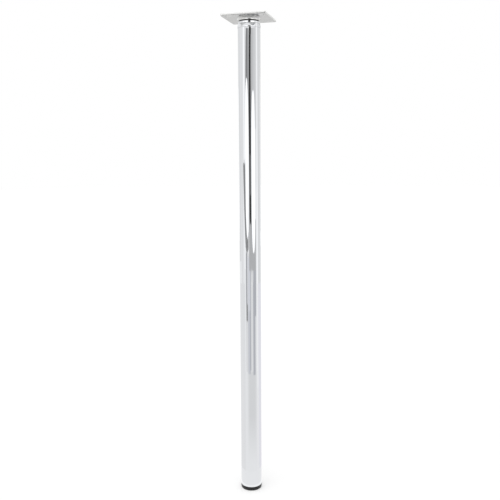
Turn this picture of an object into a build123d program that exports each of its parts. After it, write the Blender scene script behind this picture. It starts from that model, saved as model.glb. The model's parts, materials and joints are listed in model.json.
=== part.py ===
from build123d import *

import os
from math import cos, hypot, radians, tan

# Chrome table leg: a round steel tube with a square screw-on plate at its top
# and a height-adjustable foot.
# Frame: millimetres, +Z up, origin at the centre of the plate's top face, which
# lies against the underside of the table top. The leg hangs down along -Z, and
# the plate's sides are parallel to X and Y.

# Overall sizes
LEG_HEIGHT = 710.0
TUBE_DIAMETER = 32.0
TUBE_WALL = 1.2
TUBE_TOP_ROUND = 0.3
TUBE_FOOT_ROUND = 0.6
TRAVEL = 20.0  # how far the foot screws out

# Square plate with its pressed boss
PLATE_SIDE = 65.0
PLATE_THICKNESS = 3.0
PLATE_CORNER_RADIUS = 2.5
PLATE_EDGE_RADIUS = 0.4
HOLE_SPACING = 49.0
HOLE_DIAMETER = 5.2
HOLE_SINK_DIAMETER = 8.0
BOSS_DEPTH = 2.85  # below the plate's underside
BOSS_FOOT_DIAMETER = 31.2
BOSS_DRAFT = 8.5  # slope of the boss's wall, in degrees from upright
BOSS_WALL = 1.7
BOSS_BORE_DIAMETER = 8.5
BOSS_ROOT_RADIUS = 2.0
BOSS_NOSE_RADIUS = 0.3
BOSS_INNER_RADIUS = 1.2

# Screw and toothed washer that clamp the tube's end plug to the boss
SCREW_DIAMETER = 8.0
SCREW_LENGTH = 16.0
SCREW_TIP_CHAMFER = 0.8
SCREW_HEAD_DIAMETER = 14.0
SCREW_HEAD_HEIGHT = 3.2
SCREW_HEAD_EDGE_RADIUS = 2.0
SCREW_SOCKET_FLATS = 5.0
SCREW_SOCKET_DEPTH = 2.2
WASHER_DIAMETER = 15.0
WASHER_BORE_DIAMETER = 8.4
WASHER_THICKNESS = 0.8
WASHER_TEETH = 12
WASHER_NOTCH_WIDTH = 1.3
WASHER_NOTCH_DEPTH = 1.5

# Turned plug pressed into the top of the tube: a neck that meets the boss, a
# band that tapers downwards, and a collar that flares to just over the tube's
# diameter and ends in a tapered rim
PLUG_NECK_DIAMETER = 28.4
PLUG_NECK_HEIGHT = 1.55
PLUG_BAND_DIAMETER = 31.4
PLUG_BAND_HEIGHT = 2.4
PLUG_BAND_TAPER = 9.0  # in degrees from upright
PLUG_COLLAR_TOP_DIAMETER = 31.8
PLUG_COLLAR_DIAMETER = 33.0
PLUG_COLLAR_END = 9.8  # how far the tube's end lies below the boss
PLUG_EDGE_RADIUS = 0.25
PLUG_RIM_HEIGHT = 1.2
PLUG_RIM_TAPER = 8.0
PLUG_SPIGOT_LENGTH = 14.0
PLUG_LEAD_CHAMFER = 1.0

# Plastic insert pressed into the foot of the tube, with a nut held in it
INSERT_RECESS = 0.6
INSERT_DISC_HEIGHT = 3.0
INSERT_CORE_DIAMETER = 22.0
INSERT_LENGTH = 26.0
INSERT_RIBS = 8
INSERT_RIB_WIDTH = 1.6
INSERT_RIB_ROOT = 1.0  # how far a rib reaches into the core
INSERT_BORE_DIAMETER = 10.5
NUT_FLATS = 16.0
NUT_HEIGHT = 8.0
NUT_CORNER_DIAMETER = 17.6
NUT_END_DIAMETER = 15.0
NUT_BEVEL_ANGLE = 30.0
NUT_POCKET_PLAY = 0.1

# Adjusting spindle and the pad that turns freely on its head
SPINDLE_DIAMETER = 10.0
SPINDLE_SPARE = 1.6  # thread left above the nut when the foot is fully out
SPINDLE_TIP_CHAMFER = 1.0
HEAD_DIAMETER = 18.0
HEAD_HEIGHT = 2.6
HEAD_EDGE_RADIUS = 0.5
HEAD_SOCKET_FLATS = 6.0
HEAD_SOCKET_DEPTH = 4.2
PAD_DIAMETER = 32.0
PAD_HEIGHT = 5.8
PAD_SOLE_RADIUS = 1.8
PAD_TOP_RADIUS = 0.35
PAD_FLOOR = 1.6
PAD_KEY_DIAMETER = 9.0
PAD_SOLE_RECESS_DIAMETER = 20.0
PAD_SOLE_RECESS = 0.5
PAD_GROOVE_INNER_DIAMETER = 21.6
PAD_GROOVE_OUTER_DIAMETER = 28.0
PAD_GROOVE_DEPTH = 3.0
PAD_RIBS = 8
PAD_RIB_WIDTH = 1.4
PAD_GAP = 0.2  # between the pad and the end of the tube

# Play between parts that slide, screw or press together
THREAD_PLAY = 0.05
PRESS_PLAY = 0.02
HEAD_PLAY = 0.08

# Heights that follow from the sizes above
UNDERSIDE_Z = -PLATE_THICKNESS
BOSS_Z = UNDERSIDE_Z - BOSS_DEPTH
BOSS_SEAT_Z = BOSS_Z + BOSS_WALL
TUBE_TOP_Z = BOSS_Z - PLUG_COLLAR_END
FLOOR_Z = -LEG_HEIGHT
PAD_TOP_Z = FLOOR_Z + PAD_HEIGHT
TUBE_FOOT_Z = PAD_TOP_Z + PAD_GAP
HEAD_Z = FLOOR_Z + PAD_FLOOR
SHANK_Z = HEAD_Z + HEAD_HEIGHT
INSERT_Z = TUBE_FOOT_Z + INSERT_RECESS
NUT_Z = INSERT_Z + INSERT_LENGTH - NUT_HEIGHT
SPINDLE_TOP_Z = NUT_Z + NUT_HEIGHT + SPINDLE_SPARE + TRAVEL

# Radii that follow from the sizes above
TUBE_RADIUS = TUBE_DIAMETER / 2
BORE_RADIUS = TUBE_RADIUS - TUBE_WALL
GRIP_RADIUS = BORE_RADIUS - PRESS_PLAY


def at_radius(radius, z):
    """The circular edges of that radius at that height, for a fillet or chamfer."""

    def matches(edge):
        centre = edge.arc_center
        on_axis = hypot(centre.X, centre.Y) < 0.01
        return on_axis and abs(edge.radius - radius) < 0.01 and abs(centre.Z - z) < 0.01

    return matches


def circles(part, radius, z):
    return part.edges().filter_by(GeomType.CIRCLE).filter_by(at_radius(radius, z))


# Mounting plate: a stamped square whose middle is pressed down into a round
# boss, hollow from above, with a countersunk hole near each corner. The boss's
# wall slopes with the draft and has the same thickness all round.
draft = radians(BOSS_DRAFT)
boss_foot = BOSS_FOOT_DIAMETER / 2
boss_base = boss_foot + BOSS_DEPTH * tan(draft)
hollow_top = boss_foot + (BOSS_DEPTH + PLATE_THICKNESS) * tan(draft) - BOSS_WALL / cos(draft)
hollow_floor = hollow_top + BOSS_SEAT_Z * tan(draft)

with BuildPart() as mounting_plate:
    with BuildSketch(Plane.XY.offset(UNDERSIDE_Z)):
        RectangleRounded(PLATE_SIDE, PLATE_SIDE, PLATE_CORNER_RADIUS)
    extrude(amount=PLATE_THICKNESS)
    fillet(mounting_plate.faces().filter_by(Axis.Z).edges(), PLATE_EDGE_RADIUS)
    with BuildSketch(Plane.XZ):
        Polygon((0, UNDERSIDE_Z), (boss_base, UNDERSIDE_Z), (boss_foot, BOSS_Z), (0, BOSS_Z), align=None)
    revolve(axis=Axis.Z)
    with BuildSketch(Plane.XZ):
        Polygon((0, 0), (hollow_top, 0), (hollow_floor, BOSS_SEAT_Z), (0, BOSS_SEAT_Z), align=None)
    revolve(axis=Axis.Z, mode=Mode.SUBTRACT)
    fillet(circles(mounting_plate, boss_base, UNDERSIDE_Z), BOSS_ROOT_RADIUS)
    fillet(circles(mounting_plate, boss_foot, BOSS_Z), BOSS_NOSE_RADIUS)
    fillet(circles(mounting_plate, hollow_top, 0), BOSS_INNER_RADIUS)
    with Locations((0, 0, BOSS_SEAT_Z)):
        Hole(BOSS_BORE_DIAMETER / 2)
    with Locations(Plane.XY.offset(UNDERSIDE_Z).rotated((180, 0, 0))):
        with GridLocations(HOLE_SPACING, HOLE_SPACING, 2, 2):
            CounterSinkHole(
                HOLE_DIAMETER / 2,
                HOLE_SINK_DIAMETER / 2,
                depth=PLATE_THICKNESS,
                counter_sink_angle=90,
            )

# Toothed washer under the head of the clamping screw
with BuildPart() as lock_washer:
    with BuildSketch(Plane.XY.offset(BOSS_SEAT_Z)):
        Circle(WASHER_DIAMETER / 2)
        Circle(WASHER_BORE_DIAMETER / 2, mode=Mode.SUBTRACT)
        with PolarLocations(WASHER_DIAMETER / 2, WASHER_TEETH):
            Rectangle(2 * WASHER_NOTCH_DEPTH, WASHER_NOTCH_WIDTH, mode=Mode.SUBTRACT)
    extrude(amount=WASHER_THICKNESS)

# Clamping screw: a low round head with a hexagon socket, inside the boss
head_seat = BOSS_SEAT_Z + WASHER_THICKNESS
head_top = head_seat + SCREW_HEAD_HEIGHT
shank_radius = SCREW_DIAMETER / 2 - THREAD_PLAY

with BuildPart() as clamp_screw:
    with BuildSketch(Plane.XY.offset(head_seat)):
        Circle(SCREW_HEAD_DIAMETER / 2)
    extrude(amount=SCREW_HEAD_HEIGHT)
    fillet(circles(clamp_screw, SCREW_HEAD_DIAMETER / 2, head_top), SCREW_HEAD_EDGE_RADIUS)
    with BuildSketch(Plane.XY.offset(head_seat)):
        Circle(shank_radius)
    extrude(amount=-SCREW_LENGTH)
    chamfer(circles(clamp_screw, shank_radius, head_seat - SCREW_LENGTH), SCREW_TIP_CHAMFER)
    with BuildSketch(Plane.XY.offset(head_top)):
        RegularPolygon(SCREW_SOCKET_FLATS / 2, 6, major_radius=False)
    extrude(amount=-SCREW_SOCKET_DEPTH, mode=Mode.SUBTRACT)

# Plug: neck, band and collar stand between the boss and the tube, and the
# spigot below them is pressed into the bore and tapped for the clamping screw
neck_radius = PLUG_NECK_DIAMETER / 2
neck_foot = BOSS_Z - PLUG_NECK_HEIGHT
band_radius = PLUG_BAND_DIAMETER / 2
band_foot_radius = band_radius - PLUG_BAND_HEIGHT * tan(radians(PLUG_BAND_TAPER))
band_foot = neck_foot - PLUG_BAND_HEIGHT
collar_top_radius = PLUG_COLLAR_TOP_DIAMETER / 2
collar_radius = PLUG_COLLAR_DIAMETER / 2
rim_top = TUBE_TOP_Z + PLUG_RIM_HEIGHT
rim_radius = collar_radius - PLUG_RIM_HEIGHT * tan(radians(PLUG_RIM_TAPER))
spigot_end = TUBE_TOP_Z - PLUG_SPIGOT_LENGTH

with BuildPart() as top_plug:
    with BuildSketch(Plane.XZ):
        Polygon(
            (0, BOSS_Z),
            (neck_radius, BOSS_Z),
            (neck_radius, neck_foot),
            (band_radius, neck_foot),
            (band_foot_radius, band_foot),
            (collar_top_radius, band_foot),
            (collar_radius, rim_top),
            (rim_radius, TUBE_TOP_Z),
            (GRIP_RADIUS, TUBE_TOP_Z),
            (GRIP_RADIUS, spigot_end),
            (0, spigot_end),
            align=None,
        )
    revolve(axis=Axis.Z)
    fillet(circles(top_plug, band_radius, neck_foot), PLUG_EDGE_RADIUS)
    fillet(circles(top_plug, collar_top_radius, band_foot), PLUG_EDGE_RADIUS)
    fillet(circles(top_plug, rim_radius, TUBE_TOP_Z), PLUG_EDGE_RADIUS)
    chamfer(circles(top_plug, GRIP_RADIUS, spigot_end), PLUG_LEAD_CHAMFER)
    with Locations((0, 0, BOSS_Z)):
        Hole(SCREW_DIAMETER / 2)

# Tube: drawn steel, its cut ends rounded before plating
with BuildPart() as tube:
    with BuildSketch(Plane.XY.offset(TUBE_FOOT_Z)):
        Circle(TUBE_RADIUS)
        Circle(BORE_RADIUS, mode=Mode.SUBTRACT)
    extrude(amount=TUBE_TOP_Z - TUBE_FOOT_Z)
    fillet(circles(tube, TUBE_RADIUS, TUBE_TOP_Z), TUBE_TOP_ROUND)
    fillet(circles(tube, TUBE_RADIUS, TUBE_FOOT_Z), TUBE_FOOT_ROUND)

# Insert: an end disc, a core and ribs that grip the bore, with a pocket for the nut
rib_height = GRIP_RADIUS - INSERT_CORE_DIAMETER / 2 + INSERT_RIB_ROOT

with BuildPart() as foot_insert:
    with BuildSketch(Plane.XY.offset(INSERT_Z)):
        Circle(GRIP_RADIUS)
    extrude(amount=INSERT_DISC_HEIGHT)
    with BuildSketch(Plane.XY.offset(INSERT_Z)):
        Circle(INSERT_CORE_DIAMETER / 2)
        with PolarLocations(GRIP_RADIUS - rib_height / 2, INSERT_RIBS):
            Rectangle(rib_height, INSERT_RIB_WIDTH)
        Circle(GRIP_RADIUS, mode=Mode.INTERSECT)
    extrude(amount=INSERT_LENGTH)
    with BuildSketch(Plane.XY.offset(INSERT_Z)):
        Circle(INSERT_BORE_DIAMETER / 2)
    extrude(amount=INSERT_LENGTH, mode=Mode.SUBTRACT)
    with BuildSketch(Plane.XY.offset(NUT_Z - NUT_POCKET_PLAY)):
        RegularPolygon(NUT_FLATS / 2 + NUT_POCKET_PLAY, 6, major_radius=False)
    extrude(amount=NUT_HEIGHT + NUT_POCKET_PLAY, mode=Mode.SUBTRACT)

# Nut that the spindle runs in: a hexagon prism whose corners are turned off
nut_bevel = (NUT_CORNER_DIAMETER - NUT_END_DIAMETER) / 2 * tan(radians(NUT_BEVEL_ANGLE))

with BuildPart() as foot_nut:
    with BuildSketch(Plane.XY.offset(NUT_Z)):
        RegularPolygon(NUT_FLATS / 2, 6, major_radius=False)
    extrude(amount=NUT_HEIGHT)
    with BuildSketch(Plane.XZ):
        Polygon(
            (0, NUT_Z),
            (NUT_END_DIAMETER / 2, NUT_Z),
            (NUT_CORNER_DIAMETER / 2, NUT_Z + nut_bevel),
            (NUT_CORNER_DIAMETER / 2, NUT_Z + NUT_HEIGHT - nut_bevel),
            (NUT_END_DIAMETER / 2, NUT_Z + NUT_HEIGHT),
            (0, NUT_Z + NUT_HEIGHT),
            align=None,
        )
    revolve(axis=Axis.Z, mode=Mode.INTERSECT)
    with Locations((0, 0, NUT_Z)):
        Hole(SPINDLE_DIAMETER / 2 + THREAD_PLAY)

# Spindle: a threaded shank, and a flat round head with a hexagon socket below
with BuildPart() as spindle:
    with BuildSketch(Plane.XY.offset(SHANK_Z)):
        Circle(SPINDLE_DIAMETER / 2)
    extrude(amount=SPINDLE_TOP_Z - SHANK_Z)
    chamfer(circles(spindle, SPINDLE_DIAMETER / 2, SPINDLE_TOP_Z), SPINDLE_TIP_CHAMFER)
    with BuildSketch(Plane.XY.offset(HEAD_Z)):
        Circle(HEAD_DIAMETER / 2)
    extrude(amount=HEAD_HEIGHT)
    fillet(circles(spindle, HEAD_DIAMETER / 2, SHANK_Z), HEAD_EDGE_RADIUS)
    with BuildSketch(Plane.XY.offset(HEAD_Z)):
        RegularPolygon(HEAD_SOCKET_FLATS / 2, 6, major_radius=False)
    extrude(amount=HEAD_SOCKET_DEPTH, mode=Mode.SUBTRACT)

# Pad: a moulded disc snapped over the spindle's head, with a hole in its sole
# for the key and a ribbed groove moulded into its top
pad_radius = PAD_DIAMETER / 2
pocket_z = HEAD_Z - HEAD_PLAY
pocket_height = HEAD_HEIGHT + 2 * HEAD_PLAY

with BuildPart() as foot_pad:
    with BuildSketch(Plane.XY.offset(FLOOR_Z)):
        Circle(pad_radius)
    extrude(amount=PAD_HEIGHT)
    fillet(circles(foot_pad, pad_radius, FLOOR_Z), PAD_SOLE_RADIUS)
    fillet(circles(foot_pad, pad_radius, PAD_TOP_Z), PAD_TOP_RADIUS)
    with BuildSketch(Plane.XY.offset(pocket_z)):
        Circle(HEAD_DIAMETER / 2 + HEAD_PLAY)
    extrude(amount=pocket_height, mode=Mode.SUBTRACT)
    with BuildSketch(Plane.XY.offset(pocket_z)):
        Circle(SPINDLE_DIAMETER / 2 + 2 * HEAD_PLAY)
    extrude(amount=PAD_HEIGHT, mode=Mode.SUBTRACT)
    with BuildSketch(Plane.XY.offset(FLOOR_Z)):
        Circle(PAD_KEY_DIAMETER / 2)
    extrude(amount=PAD_FLOOR, mode=Mode.SUBTRACT)
    with BuildSketch(Plane.XY.offset(FLOOR_Z)):
        Circle(PAD_SOLE_RECESS_DIAMETER / 2)
    extrude(amount=PAD_SOLE_RECESS, mode=Mode.SUBTRACT)
    with BuildSketch(Plane.XY.offset(PAD_TOP_Z)):
        Circle(PAD_GROOVE_OUTER_DIAMETER / 2)
        Circle(PAD_GROOVE_INNER_DIAMETER / 2, mode=Mode.SUBTRACT)
        with PolarLocations((PAD_GROOVE_OUTER_DIAMETER + PAD_GROOVE_INNER_DIAMETER) / 4, PAD_RIBS):
            Rectangle(PAD_GROOVE_OUTER_DIAMETER / 4, PAD_RIB_WIDTH, mode=Mode.SUBTRACT)
    extrude(amount=-PAD_GROOVE_DEPTH, mode=Mode.SUBTRACT)

pieces = {
    "mounting_plate": mounting_plate,
    "lock_washer": lock_washer,
    "clamp_screw": clamp_screw,
    "top_plug": top_plug,
    "tube": tube,
    "foot_insert": foot_insert,
    "foot_nut": foot_nut,
    "spindle": spindle,
    "foot_pad": foot_pad,
}

os.makedirs("parts", exist_ok=True)
for name, piece in pieces.items():
    piece.part.label = name
    export_step(piece.part, f"parts/{name}.step")
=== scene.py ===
import json
import math

import bpy
from mathutils import Matrix, Vector


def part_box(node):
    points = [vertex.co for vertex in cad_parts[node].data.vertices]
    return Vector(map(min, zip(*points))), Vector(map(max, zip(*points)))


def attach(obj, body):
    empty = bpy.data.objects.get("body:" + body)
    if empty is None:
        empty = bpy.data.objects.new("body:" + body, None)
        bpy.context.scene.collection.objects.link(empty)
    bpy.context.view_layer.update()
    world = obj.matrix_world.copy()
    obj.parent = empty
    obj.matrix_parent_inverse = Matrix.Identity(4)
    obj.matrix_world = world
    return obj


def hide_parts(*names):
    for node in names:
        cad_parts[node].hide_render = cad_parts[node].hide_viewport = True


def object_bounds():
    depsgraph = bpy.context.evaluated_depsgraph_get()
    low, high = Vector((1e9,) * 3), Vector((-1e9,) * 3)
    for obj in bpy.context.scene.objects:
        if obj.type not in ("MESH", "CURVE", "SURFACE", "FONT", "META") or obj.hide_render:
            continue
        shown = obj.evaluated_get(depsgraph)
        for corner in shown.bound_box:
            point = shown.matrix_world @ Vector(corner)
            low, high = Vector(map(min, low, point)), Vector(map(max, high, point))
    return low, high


# Looks of the chrome table leg: camera, studio, finishes, the turned chrome
# tube and the two threaded screws. Metres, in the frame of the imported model:
# the origin is the centre of the plate's top face, and the leg hangs along -Z.
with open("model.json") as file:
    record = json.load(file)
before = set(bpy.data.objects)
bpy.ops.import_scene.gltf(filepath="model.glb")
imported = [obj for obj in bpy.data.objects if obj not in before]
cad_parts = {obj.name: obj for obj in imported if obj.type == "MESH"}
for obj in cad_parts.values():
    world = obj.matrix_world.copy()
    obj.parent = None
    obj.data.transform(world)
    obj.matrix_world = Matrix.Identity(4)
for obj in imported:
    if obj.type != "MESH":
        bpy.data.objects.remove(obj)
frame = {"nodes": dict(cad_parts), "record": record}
cad_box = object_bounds()
bpy.context.scene.view_settings.view_transform = "Standard"

MM = 0.001
FLOOR_Z = cad_box[0].z

# The camera, as fitted to the photograph's 500 by 500 pixels
PHOTO_SIDE = 500
FOCAL_PIXELS = 644.2
SENSOR_WIDTH = 36.0
FRAME_SHIFT_PIXELS = 0.25
CAMERA_AZIMUTH = math.radians(15.44)
CAMERA_DISTANCE = 0.950
CAMERA_HEIGHT = -0.1888
CAMERA_PITCH_DOWN = math.radians(8.653)
CAMERA_ROLL = math.radians(-0.33)

# The studio: light on what isn't a mirror, and the floor
SKY_FOR_DIFFUSE = 0.80
SUN_SHARE = 0.20
SUN_WIDTH = math.radians(70)
SUN_TOWARDS_CAMERA = 0.55
SUN_TOWARDS_LEFT = 0.35
FLOOR_RADIUS = 9.0
FLOOR_STEPS = 96
FLOOR_COLOUR = 0.64
FLOOR_LIFT = 0.42

# The cards that a mirror sees: an upright drum round the leg, and strips on the floor
DRUM_RADIUS = 1.6
DRUM_TOP = 0.62
DRUM_LAYER = 0.02
SOFTBOX_DEPTH = 0.05
CARD_STEPS = 48
OVAL_STEPS = 96
FLOOR_CARD_LIFT = 1 * MM
NEAR_BAR_LIFT = 2 * MM
BAR_LIFT = 3 * MM

# Distances from the leg's axis at which one ring of floor cards ends and the next starts.
# The last ring ends just outside the tube.
DIP_REACH = 0.56
FOOT_REACH = 0.075
RIM_REACH = 0.030
TUBE_REACH = 0.0165

WHITE = (1, 1, 1)
COOL_GREY = (0.955, 0.968, 1.02)
LAVENDER = (0.995, 0.985, 1.03)

towards_camera = Vector((math.sin(CAMERA_AZIMUTH), -math.cos(CAMERA_AZIMUTH), 0))
camera_right = Vector((math.cos(CAMERA_AZIMUTH), math.sin(CAMERA_AZIMUTH), 0))


def link(thing):
    bpy.context.scene.collection.objects.link(thing)
    return thing


def mesh_object(name, points, faces, smooth=True):
    mesh = bpy.data.meshes.new(name)
    mesh.from_pydata([tuple(p) for p in points], [], faces)
    mesh.validate()
    for polygon in mesh.polygons:
        polygon.use_smooth = smooth
    return link(bpy.data.objects.new(name, mesh))


# Node helpers


def new_material(name):
    material = bpy.data.materials.new(name)
    material.use_nodes = True
    material.node_tree.nodes.clear()
    return material, material.node_tree


def add_node(tree, kind, inputs=None, **settings):
    node = tree.nodes.new(kind)
    for key, value in settings.items():
        setattr(node, key, value)
    for key, value in (inputs or {}).items():
        if isinstance(value, bpy.types.NodeSocket):
            tree.links.new(value, node.inputs[key])
        else:
            node.inputs[key].default_value = value
    return node


def maths(tree, operation, *values):
    node = tree.nodes.new("ShaderNodeMath")
    node.operation = operation
    for socket, value in zip(node.inputs, values):
        if isinstance(value, bpy.types.NodeSocket):
            tree.links.new(value, socket)
        else:
            socket.default_value = value
    return node.outputs[0]


def spread(tree, value, given, wanted, kind="LINEAR"):
    """Maps a value from one range, low to high, to another."""
    node = add_node(tree, "ShaderNodeMapRange", {"Value": value}, interpolation_type=kind)
    node.inputs["From Min"].default_value = given[0]
    node.inputs["From Max"].default_value = given[1]
    node.inputs["To Min"].default_value = wanted[0]
    node.inputs["To Max"].default_value = wanted[1]
    return node.outputs["Result"]


def noise(tree, scale, detail=3.0, roughness=0.5):
    """Noise in the surface's own place, stretched by three scales, in cycles a metre."""
    place = add_node(tree, "ShaderNodeTexCoord")
    mapping = add_node(tree, "ShaderNodeMapping", {"Vector": place.outputs["Object"], "Scale": scale})
    stretched = mapping.outputs["Vector"]
    settings = {"Vector": stretched, "Scale": 1.0, "Detail": detail, "Roughness": roughness}
    return add_node(tree, "ShaderNodeTexNoise", settings).outputs["Fac"]


def from_noise(tree, value, low, high):
    """Spreads noise, which mostly lies between 0.3 and 0.7, over low to high."""
    return spread(tree, value, (0.3, 0.7), (low, high))


def blend(tree, factor, first, second):
    """Mixes two colours. A colour is a socket or four numbers."""
    node = add_node(tree, "ShaderNodeMix", data_type="RGBA")
    tree.links.new(factor, node.inputs["Factor"])
    for key, value in (("A", first), ("B", second)):
        socket = next(s for s in node.inputs if s.name == key and s.type == "RGBA")
        if isinstance(value, bpy.types.NodeSocket):
            tree.links.new(value, socket)
        else:
            socket.default_value = value
    return next(s for s in node.outputs if s.type == "RGBA")


def blend_colours(tree, factor, first, second):
    return blend(tree, factor, (*first, 1), (*second, 1))


def bump(tree, height, distance, normal=None):
    node = add_node(tree, "ShaderNodeBump", {"Height": height, "Distance": distance})
    if normal is not None:
        tree.links.new(normal, node.inputs["Normal"])
    return node.outputs["Normal"]


# Camera


def make_camera():
    data = bpy.data.cameras.new("camera")
    data.sensor_width = SENSOR_WIDTH
    data.lens = SENSOR_WIDTH * FOCAL_PIXELS / PHOTO_SIDE
    data.shift_x = -FRAME_SHIFT_PIXELS / PHOTO_SIDE
    camera = link(bpy.data.objects.new("camera", data))
    place = towards_camera * CAMERA_DISTANCE + Vector((0, 0, CAMERA_HEIGHT))
    down = Vector((0, 0, -math.sin(CAMERA_PITCH_DOWN)))
    forward = down - towards_camera * math.cos(CAMERA_PITCH_DOWN)
    level_up = camera_right.cross(forward)
    right = camera_right * math.cos(CAMERA_ROLL) + level_up * math.sin(CAMERA_ROLL)
    up = level_up * math.cos(CAMERA_ROLL) - camera_right * math.sin(CAMERA_ROLL)
    turn = Matrix((right, up, -forward)).transposed()
    camera.matrix_world = Matrix.Translation(place) @ turn.to_4x4()
    bpy.context.scene.camera = camera


# Studio: a white surround, one wide sun, a pale floor, and the cards that a
# mirror needs to see. The cards show in reflections only.


def seen_directly(tree):
    path = add_node(tree, "ShaderNodeLightPath")
    direct = maths(tree, "MAXIMUM", path.outputs["Is Camera Ray"], path.outputs["Is Glossy Ray"])
    return maths(tree, "MAXIMUM", direct, path.outputs["Is Transmission Ray"])


def make_world():
    world = bpy.data.worlds.new("surround")
    bpy.context.scene.world = world
    world.use_nodes = True
    tree = world.node_tree
    tree.nodes.clear()
    strength = maths(tree, "MULTIPLY_ADD", seen_directly(tree), 1 - SKY_FOR_DIFFUSE, SKY_FOR_DIFFUSE)
    background = add_node(tree, "ShaderNodeBackground", {"Color": (1, 1, 1, 1), "Strength": strength})
    add_node(tree, "ShaderNodeOutputWorld", {"Surface": background.outputs["Background"]})


def make_sun():
    data = bpy.data.lights.new("wide_sun", "SUN")
    data.energy = SUN_SHARE * math.pi
    data.angle = SUN_WIDTH
    sun = link(bpy.data.objects.new("wide_sun", data))
    sun.visible_glossy = False
    aim = towards_camera * SUN_TOWARDS_CAMERA - camera_right * SUN_TOWARDS_LEFT + Vector((0, 0, 1))
    sun.rotation_mode = "QUATERNION"
    sun.rotation_quaternion = aim.normalized().to_track_quat("Z", "Y")


def make_floor():
    """The floor rides with the pad, so the leg still stands on it with its foot screwed out."""
    rim = []
    for step in range(FLOOR_STEPS):
        angle = 2 * math.pi * step / FLOOR_STEPS
        rim.append((FLOOR_RADIUS * math.cos(angle), FLOOR_RADIUS * math.sin(angle), FLOOR_Z))
    floor = mesh_object("floor", rim, [list(range(FLOOR_STEPS))])
    material, tree = new_material("pale_floor")
    grey = (FLOOR_COLOUR, FLOOR_COLOUR, FLOOR_COLOUR, 1)
    paper = add_node(tree, "ShaderNodeBsdfDiffuse", {"Color": grey})
    lift = maths(tree, "MULTIPLY", seen_directly(tree), FLOOR_LIFT)
    glow = add_node(tree, "ShaderNodeEmission", {"Color": (1, 1, 1, 1), "Strength": lift})
    both = add_node(tree, "ShaderNodeAddShader", {0: paper.outputs[0], 1: glow.outputs[0]})
    clear = add_node(tree, "ShaderNodeBsdfTransparent")
    below = add_node(tree, "ShaderNodeNewGeometry").outputs["Backfacing"]
    surface = add_node(tree, "ShaderNodeMixShader", {0: below, 1: both.outputs[0], 2: clear.outputs[0]})
    add_node(tree, "ShaderNodeOutputMaterial", {"Surface": surface.outputs[0]})
    floor.data.materials.append(material)
    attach(floor, "pad")


def studio_point(turn, reach, height):
    """A point round the leg. The turn is in degrees from the camera's side, and
    positive towards the right of the picture."""
    angle = math.radians(turn)
    way = towards_camera * math.cos(angle) + camera_right * math.sin(angle)
    return way * reach + Vector((0, 0, height))


def glow_material(name, strength, colour=WHITE):
    material, tree = new_material(name)
    glow = add_node(tree, "ShaderNodeEmission", {"Color": (*colour, 1), "Strength": strength})
    add_node(tree, "ShaderNodeOutputMaterial", {"Surface": glow.outputs[0]})
    return material


def dipping_material(name, centre, widths, reaches, depths):
    """White with a dip of grey. In turns from its centre the dip is whole up to the first
    width and gone by the second. Its depth changes evenly between two distances from the leg."""
    material, tree = new_material(name)
    place = add_node(tree, "ShaderNodeNewGeometry").outputs["Position"]
    along = []
    for way in (camera_right, towards_camera):
        part = add_node(tree, "ShaderNodeVectorMath", {0: place, 1: way}, operation="DOT_PRODUCT")
        along.append(part.outputs["Value"])
    turn = maths(tree, "SUBTRACT", maths(tree, "ARCTAN2", *along), math.radians(centre))
    widths = [math.radians(width) for width in widths]
    share = spread(tree, maths(tree, "ABSOLUTE", turn), widths, (1, 0), "SMOOTHSTEP")
    level = add_node(tree, "ShaderNodeVectorMath", {0: place, 1: (1, 1, 0)}, operation="MULTIPLY")
    distance = add_node(tree, "ShaderNodeVectorMath", {0: level.outputs[0]}, operation="LENGTH")
    depth = spread(tree, distance.outputs["Value"], reaches, depths)
    strength = maths(tree, "SUBTRACT", 1.0, maths(tree, "MULTIPLY", share, depth))
    glow = add_node(tree, "ShaderNodeEmission", {"Color": (1, 1, 1, 1), "Strength": strength})
    add_node(tree, "ShaderNodeOutputMaterial", {"Surface": glow.outputs[0]})
    return material


def card(name, points, faces, material):
    """Stage that shows in reflections only."""
    thing = mesh_object(name, points, faces, smooth=False)
    thing.data.materials.append(material)
    thing.visible_camera = False
    thing.visible_diffuse = False
    thing.visible_shadow = False
    thing.visible_transmission = False


def outline_card(name, outline, strength, reach=DRUM_RADIUS):
    """A card on the drum. Its outline is a list of turns and heights."""
    points = [studio_point(turn, reach, height) for turn, height in outline]
    card(name, points, [list(range(len(points)))], glow_material(name, strength))


def oval_card(name, turns, heights, strength, squareness, reach):
    """A softbox with rounded ends, drawn as a superellipse on the drum."""
    middle_turn = (turns[0] + turns[1]) / 2
    middle_height = (heights[0] + heights[1]) / 2
    outline = []
    for step in range(OVAL_STEPS):
        angle = 2 * math.pi * step / OVAL_STEPS
        across = math.copysign(abs(math.cos(angle)) ** (2 / squareness), math.cos(angle))
        up = math.copysign(abs(math.sin(angle)) ** (2 / squareness), math.sin(angle))
        turn = middle_turn + across * (turns[1] - turns[0]) / 2
        outline.append((turn, middle_height + up * (heights[1] - heights[0]) / 2))
    outline_card(name, outline, strength, reach)


def strip_card(name, turns, rails, material):
    """A curved strip between two turns. Each rail is a reach and a height."""
    points = []
    for step in range(CARD_STEPS + 1):
        turn = turns[0] + (turns[1] - turns[0]) * step / CARD_STEPS
        points += [studio_point(turn, reach, height) for reach, height in rails]
    count = len(rails)
    faces = []
    for step in range(CARD_STEPS):
        for rail in range(count - 1):
            here = step * count + rail
            faces.append((here, here + count, here + count + 1, here + 1))
    card(name, points, faces, material)


def upright_card(name, turns, heights, strength, reach=DRUM_RADIUS):
    rails = [(reach, heights[0]), (reach, heights[1])]
    strip_card(name, turns, rails, glow_material(name, strength))


def bar_card(name, turns, top, end, strength, lift=BAR_LIFT):
    """Hangs from a height on the drum down to the floor, and lies along it to a reach."""
    low = FLOOR_Z + lift
    rails = [(DRUM_RADIUS, top), (DRUM_RADIUS, low), (end, low)]
    strip_card(name, turns, rails, glow_material(name, strength, COOL_GREY))


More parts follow.
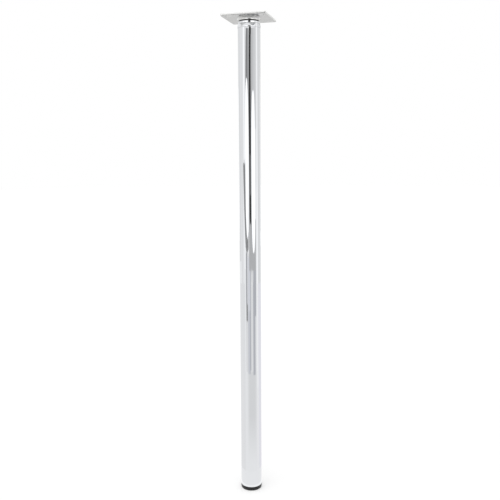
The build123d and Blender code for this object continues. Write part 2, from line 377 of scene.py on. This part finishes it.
def floor_card(name, turns, reaches, material, lift=FLOOR_CARD_LIFT):
    """Lies along the floor between two reaches."""
    rails = [(reach, FLOOR_Z + lift) for reach in reaches]
    strip_card(name, turns, rails, material)


def plain_floor_card(name, turns, reaches, strength, colour=WHITE, lift=FLOOR_CARD_LIFT):
    """A floor card of one grey."""
    floor_card(name, turns, reaches, glow_material(name, strength, colour), lift)


def make_front_cards():
    """What the tube shows in the photograph, from its top downwards."""
    near = DRUM_RADIUS - SOFTBOX_DEPTH
    oval_card("softbox_left", (-46, -11), (-0.520, 0.085), 1.45, 2.3, near)
    oval_card("softbox_right", (18, 57), (-0.577, 0.039), 1.45, 2.8, near)
    gap_left_side = [(0, DRUM_TOP), (-1, 0.277), (-5, -0.03), (-5, -0.25), (-3, -0.462)]
    gap_right_side = [(12, -0.462), (13, -0.25), (13.5, -0.03), (13, 0.118), (14, 0.191)]
    gap_right_side += [(17.5, 0.277), (19, DRUM_TOP)]
    outline_card("gap_dark", gap_left_side + gap_right_side, 0.03, near)
    pale = [(-2, -0.35), (-2, -0.20), (12, -0.20), (12, -0.35)]
    outline_card("gap_pale", pale, 0.17, near - DRUM_LAYER)
    upright_card("gap_left", (-13, -3), (-0.462, 0.0), 0.42)
    upright_card("gap_right", (12, 20), (-0.462, 0.0), 0.62)
    room = [(-33, 0.45), (-34.5, 0.273), (-40, 0.118), (-40, -0.10), (-21, -0.10), (-21, 0.45)]
    outline_card("room_left_far", room, 0.29)
    upright_card("room_left_near", (-21, -3), (-0.10, 0.45), 0.43)
    upright_card("room_right_near", (13, 24), (-0.10, 0.45), 0.56)
    upright_card("room_right_mid", (24, 42), (-0.10, 0.45), 0.69)
    upright_card("room_right_far", (42, 62), (-0.10, 0.45), 0.78)
    upright_card("room_right_edge", (62, 76), (-0.10, DRUM_TOP), 0.88)
    rim = [(-74, -0.232), (-64, -0.40), (-56, -0.50), (-50, -0.56), (-38, -0.585), (-18, -0.568)]
    rim += [(-18, -0.50), (-34, -0.50), (-44, -0.44), (-46, -0.40), (-48, -0.232)]
    outline_card("softbox_rim", rim, 0.33)
    upright_card("bench", (-12, 62), (-0.655, -0.45), 0.55)


def make_low_cards():
    """The greys under the softboxes, which fade out towards the foot."""
    upright_card("skirting", (-50, 63), (FLOOR_Z, -0.59), 0.88, DRUM_RADIUS + DRUM_LAYER)
    plain_floor_card("floor_pale", (-50, 63), (DRUM_RADIUS, DIP_REACH), 0.90)
    bar_card("bar_left", (-47, -34), -0.585, 1.24, 0.48)
    plain_floor_card("bar_left_end", (-45, -29), (1.24, 1.02), 0.34, lift=BAR_LIFT)
    bar_card("bar_mid_left", (-27, -5), -0.60, 1.15, 0.84)
    plain_floor_card("bar_mid_left_end", (-27, -9), (1.15, 0.54), 0.75, COOL_GREY, BAR_LIFT)
    plain_floor_card("line_mid_left", (-9, -4), (1.15, 0.54), 0.60, COOL_GREY, BAR_LIFT)
    bar_card("bar_middle", (-4, 4), -0.62, 0.565, 0.60)
    bar_card("bar_right_far", (32, 63), -0.655, 1.08, 0.57)
    bar_card("bar_right_near", (28, 52), -0.700, 0.535, 0.60, NEAR_BAR_LIFT)
    dip = dipping_material("floor_dip", 15, (25, 62), (0.10, 0.30), (0, 0.165))
    floor_card("floor_dip", (-62, 76), (DIP_REACH, FOOT_REACH), dip)
    plain_floor_card("floor_left", (-140, -62), (DRUM_RADIUS, FOOT_REACH), 0.945)
    plain_floor_card("floor_right", (92, 150), (DRUM_RADIUS, FOOT_REACH), 0.955, LAVENDER)
    plain_floor_card("line_right", (76, 88), (DRUM_RADIUS, 0.45), 1.12)
    plain_floor_card("floor_at_foot", (-180, 180), (FOOT_REACH, RIM_REACH), 1.02)
    plain_floor_card("floor_at_rim", (-180, 180), (RIM_REACH, TUBE_REACH), 1.13)


def make_side_cards():
    """Lines near the tube's edges, and what it shows from the sides and the back."""
    whole = (FLOOR_Z, DRUM_TOP)
    behind = DRUM_RADIUS + DRUM_LAYER
    upright_card("edge_left_top", (-65, -53), (-0.22, DRUM_TOP), 1.28, behind)
    upright_card("edge_left_low", (-63, -53), (-0.652, -0.416), 1.20, behind)
    upright_card("edge_left_dim", (-106, -79), whole, 0.95)
    upright_card("edge_right_bright", (76, 90), whole, 1.20)
    upright_card("edge_right_dim", (91, 140), whole, 0.88)
    oval_card("back_box_right", (141, 153), (-0.56, 0.10), 1.5, 3.2, DRUM_RADIUS)
    upright_card("back_gap", (154, 160), (-0.50, DRUM_TOP), 0.06)
    upright_card("back_wall", (161, 199), whole, 0.74)
    oval_card("back_box_left", (-160, -148), (-0.54, 0.06), 1.5, 3.2, DRUM_RADIUS)
    upright_card("back_grey", (-146, -112), (-0.62, 0.40), 0.88)


make_camera()
make_world()
make_sun()
make_floor()
make_front_cards()
make_low_cards()
make_side_cards()


# Finishes


def finish_material(tree, colour, roughness, normal, metallic=1.0, specular=0.5):
    settings = {"Metallic": metallic, "Specular IOR Level": specular}
    shader = add_node(tree, "ShaderNodeBsdfPrincipled", settings)
    for key, value in (("Base Color", colour), ("Roughness", roughness), ("Normal", normal)):
        tree.links.new(value, shader.inputs[key])
    add_node(tree, "ShaderNodeOutputMaterial", {"Surface": shader.outputs[0]})


def chrome(name, painted_gap_shade=None):
    """Bright chrome on a drawn or turned surface: clean, with faint lines along it from
    polishing. Given two distances from the axis, the colour is painted near black inside
    the first, as painted shade for the shadow gap under the boss, and is plain chrome outside the
    second."""
    material, tree = new_material(name)
    colour = blend_colours(tree, noise(tree, (30, 30, 6)), (0.735, 0.748, 0.770), (0.775, 0.784, 0.800))
    roughness = from_noise(tree, noise(tree, (260, 260, 12), detail=4), 0.020, 0.050)
    if painted_gap_shade:
        # Painted shade: inside the first distance the chrome is painted near black for the shadow in
        # the gap under the boss.
        place = add_node(tree, "ShaderNodeTexCoord").outputs["Object"]
        level = add_node(tree, "ShaderNodeVectorMath", {0: place, 1: (1, 1, 0)}, operation="MULTIPLY")
        reach = add_node(tree, "ShaderNodeVectorMath", {0: level.outputs[0]}, operation="LENGTH")
        unshaded = spread(tree, reach.outputs["Value"], painted_gap_shade, (0, 1))
        colour = blend(tree, unshaded, (0.012, 0.012, 0.012, 1), colour)
    normal = bump(tree, noise(tree, (1500, 1500, 8), detail=2), 0.0000015)
    normal = bump(tree, noise(tree, (14, 14, 9), detail=1), 0.00004, normal)
    finish_material(tree, colour, roughness, normal)
    return material


# Between these heights a sheared edge goes from burnished to the rough band where the sheet tore, which
# also carries a painted highlight
TEAR_AND_HIGHLIGHT_HEIGHTS = (-1.9 * MM, -1.6 * MM)


def satin_plate():
    """Nickel on pressed sheet: softer than the tube's chrome, with the sheet's rolling grain.
    The sheared edges are rough above, where the sheet tore, and are painted pale there as a painted
    highlight."""
    material, tree = new_material("satin_nickel")
    place = add_node(tree, "ShaderNodeTexCoord").outputs["Object"]
    axes = add_node(tree, "ShaderNodeSeparateXYZ", {0: place})
    aside = [maths(tree, "ABSOLUTE", axes.outputs[axis]) for axis in ("X", "Y")]
    half_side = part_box("mounting_plate")[1].x
    rim = (half_side - 0.4 * MM, half_side - 0.2 * MM)
    edge = spread(tree, maths(tree, "MAXIMUM", *aside), rim, (0, 1))
    torn_and_highlit = spread(tree, axes.outputs["Z"], TEAR_AND_HIGHLIGHT_HEIGHTS, (0, 1))
    edge = maths(tree, "MULTIPLY", edge, torn_and_highlit)
    cloud = noise(tree, (60, 60, 60), detail=4)
    face = blend_colours(tree, cloud, (0.60, 0.60, 0.59), (0.69, 0.69, 0.68))
    # Painted highlight: the upper band of the sheared edge is painted near white, so it reads as lit.
    # Its added roughness below is the real torn band.
    colour = blend(tree, edge, face, (0.93, 0.93, 0.92, 1))
    face_roughness = from_noise(tree, noise(tree, (90, 700, 300), detail=4), 0.15, 0.22)
    roughness = maths(tree, "MULTIPLY_ADD", edge, 0.35, face_roughness)
    normal = bump(tree, noise(tree, (120, 2600, 900), detail=3), 0.000003)
    normal = bump(tree, noise(tree, (900, 900, 900), detail=2), 0.000004, normal)
    finish_material(tree, colour, roughness, normal)
    return material


def zinc():
    """Bright zinc plate on screws: bluish, cloudy, with fine turning marks."""
    material, tree = new_material("bright_zinc")
    cloud = noise(tree, (220, 220, 220), detail=4)
    colour = blend_colours(tree, cloud, (0.50, 0.52, 0.55), (0.66, 0.67, 0.68))
    roughness = from_noise(tree, noise(tree, (500, 500, 500), detail=4), 0.22, 0.40)
    normal = bump(tree, noise(tree, (300, 300, 4000), detail=2), 0.000005)
    finish_material(tree, colour, roughness, normal)
    return material


def black_plastic():
    """Moulded black plastic with a fine spark-eroded texture and a little rubbing."""
    material, tree = new_material("black_moulded_plastic")
    cloud = noise(tree, (180, 180, 180), detail=4)
    colour = blend_colours(tree, cloud, (0.009, 0.009, 0.010), (0.017, 0.017, 0.018))
    roughness = from_noise(tree, noise(tree, (700, 700, 700), detail=3), 0.30, 0.46)
    normal = bump(tree, noise(tree, (2600, 2600, 2600), detail=3), 0.00002)
    finish_material(tree, colour, roughness, normal, metallic=0.0, specular=0.28)
    return material


def insert_plastic():
    """Glass-filled grey-black plastic, paler in streaks where the fibres show."""
    material, tree = new_material("filled_plastic")
    streaks = noise(tree, (300, 300, 1200), detail=5, roughness=0.65)
    colour = blend_colours(tree, streaks, (0.030, 0.030, 0.032), (0.075, 0.075, 0.078))
    roughness = from_noise(tree, streaks, 0.42, 0.62)
    normal = bump(tree, streaks, 0.00002)
    finish_material(tree, colour, roughness, normal, metallic=0.0)
    return material


finish_of_slot = {
    "chrome_tube": chrome("bright_chrome"),
    "chrome_plate": satin_plate(),
    "zinc_steel": zinc(),
    "black_pad": black_plastic(),
    "grey_insert": insert_plastic(),
}
# The top plug's neck carries painted shade for the shadow gap under the boss.
finish_of_node = {"top_plug": chrome("chrome_with_painted_gap_shade", painted_gap_shade=(14.3 * MM, 14.9 * MM))}
slot_of_node = {part["node"]: part["material_slot"] for part in frame["record"]["subparts"]}


def finish_of(name):
    return finish_of_node.get(name, finish_of_slot[slot_of_node[name]])


for name, node in frame["nodes"].items():
    for index in range(len(node.data.materials)):
        node.data.materials[index] = finish_of(name)


# Turned pieces


def turned(name, rows, segments, ring=False):
    """A surface of rows round the Z axis. A row is a radius and a height, and the
    radius may be a function of angle and height. With ring, the last row joins the
    first; otherwise the first and last rows are closed by a flat face."""
    points = []
    for radius, height in rows:
        for step in range(segments):
            angle = 2 * math.pi * step / segments
            reach = radius(angle, height) if callable(radius) else radius
            points.append((reach * math.cos(angle), reach * math.sin(angle), height))
    faces = []
    count = len(rows)
    for row in range(count if ring else count - 1):
        here = row * segments
        above = ((row + 1) % count) * segments
        for step in range(segments):
            after = (step + 1) % segments
            faces.append((here + step, here + after, above + after, above + step))
    if not ring:
        faces.append(tuple(reversed(range(segments))))
        faces.append(tuple(range((count - 1) * segments, count * segments)))
    return mesh_object(name, points, faces)


def arc_rows(centre, radius, start, end, steps):
    """Rows along an arc of the profile round a centre, from one angle to another, in degrees."""
    rows = []
    for step in range(steps + 1):
        angle = math.radians(start + (end - start) * step / steps)
        rows.append((centre[0] + radius * math.cos(angle), centre[1] + radius * math.sin(angle)))
    return rows


def hexagon(flats):
    """The radius of a hexagonal socket, from its width across flats."""

    def radius(angle, height):
        return flats / 2 / math.cos(angle % (math.pi / 3) - math.pi / 6)

    return radius


def thread_rows(outer, pitch, low, high, tip_end, chamfer):
    """Rows of a right-handed thread. It fades out at one end, and is turned down to
    a chamfer at the other, which tip_end names as low or high."""
    depth = THREAD_DEPTH_SHARE * pitch
    crest_share = 1 / 8
    root_share = 1 / 4
    tip = low if tip_end == "low" else high
    root_end = high if tip_end == "low" else low

    def radius(angle, height):
        phase = ((height - low) / pitch - angle / (2 * math.pi)) % 1
        across = abs(phase - 0.5) * 2
        cut = min(max((across - crest_share) / (1 - crest_share - root_share), 0), 1)
        fade = min(abs(height - root_end) / pitch, 1)
        chamfered = outer - chamfer + abs(height - tip)
        return min(outer - depth * cut * fade, chamfered)

    count = round((high - low) / pitch * THREAD_STEPS)
    return [(radius, low + (high - low) * step / count) for step in range(count + 1)]


def dress(piece, node, body, crisp=40):
    """Keeps edges that turn more than crisp degrees sharp, and stands in for the node."""
    piece.data.set_sharp_from_angle(angle=math.radians(crisp))
    piece.data.materials.append(finish_of(node))
    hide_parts(node)
    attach(piece, body)


THREAD_DEPTH_SHARE = 0.6134
THREAD_STEPS = 12
THREAD_SEGMENTS = 72
TUBE_SEGMENTS = 256
TUBE_ROWS = 60
TUBE_WALL = 1.2 * MM
TUBE_TOP_ROUND = 0.3 * MM
TUBE_FOOT_ROUND = 0.6 * MM


def make_tube():
    low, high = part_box("tube")
    outer = high.x
    inner = outer - TUBE_WALL
    span = high.z - low.z
    rows = [(inner, low.z)]
    rows += arc_rows((outer - TUBE_FOOT_ROUND, low.z + TUBE_FOOT_ROUND), TUBE_FOOT_ROUND, -90, 0, 12)
    rows += [(outer, low.z + span * row / TUBE_ROWS) for row in range(1, TUBE_ROWS)]
    rows += arc_rows((outer - TUBE_TOP_ROUND, high.z - TUBE_TOP_ROUND), TUBE_TOP_ROUND, 0, 90, 6)
    rows += [(inner, high.z)]
    dress(turned("tube_bright", rows, TUBE_SEGMENTS, ring=True), "tube", "leg")


SPINDLE_RADIUS = 5.0 * MM
SPINDLE_PITCH = 1.5 * MM
SPINDLE_TIP_CHAMFER = 1.0 * MM
SPINDLE_HEAD_HEIGHT = 2.6 * MM
SPINDLE_HEAD_EDGE = 0.5 * MM
SPINDLE_SOCKET_FLATS = 6.0 * MM
SPINDLE_SOCKET_DEPTH = 4.2 * MM


def make_spindle():
    low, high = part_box("spindle")
    head_radius = high.x
    shoulder = low.z + SPINDLE_HEAD_HEIGHT
    edge = SPINDLE_HEAD_EDGE
    socket = hexagon(SPINDLE_SOCKET_FLATS)
    rows = [(socket, low.z + SPINDLE_SOCKET_DEPTH), (socket, low.z), (head_radius, low.z)]
    rows += arc_rows((head_radius - edge, shoulder - edge), edge, 0, 90, 6)
    rows += [(SPINDLE_RADIUS, shoulder)]
    rows += thread_rows(SPINDLE_RADIUS, SPINDLE_PITCH, shoulder, high.z, "high", SPINDLE_TIP_CHAMFER)
    dress(turned("spindle_threaded", rows, THREAD_SEGMENTS), "spindle", "screw")


CLAMP_RADIUS = 3.95 * MM
CLAMP_PITCH = 1.25 * MM
CLAMP_TIP_CHAMFER = 0.8 * MM
CLAMP_HEAD_HEIGHT = 3.2 * MM
CLAMP_HEAD_EDGE = 2.0 * MM
CLAMP_SOCKET_FLATS = 5.0 * MM
CLAMP_SOCKET_DEPTH = 2.2 * MM


def make_clamp_screw():
    low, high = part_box("clamp_screw")
    head_radius = high.x
    seat = high.z - CLAMP_HEAD_HEIGHT
    edge = CLAMP_HEAD_EDGE
    socket = hexagon(CLAMP_SOCKET_FLATS)
    rows = thread_rows(CLAMP_RADIUS, CLAMP_PITCH, low.z, seat, "low", CLAMP_TIP_CHAMFER)
    rows += [(head_radius, seat)]
    rows += arc_rows((head_radius - edge, high.z - edge), edge, 0, 90, 12)
    rows += [(socket, high.z), (socket, high.z - CLAMP_SOCKET_DEPTH)]
    dress(turned("clamp_screw_threaded", rows, THREAD_SEGMENTS), "clamp_screw", "leg")


make_tube()
make_spindle()
make_clamp_screw()
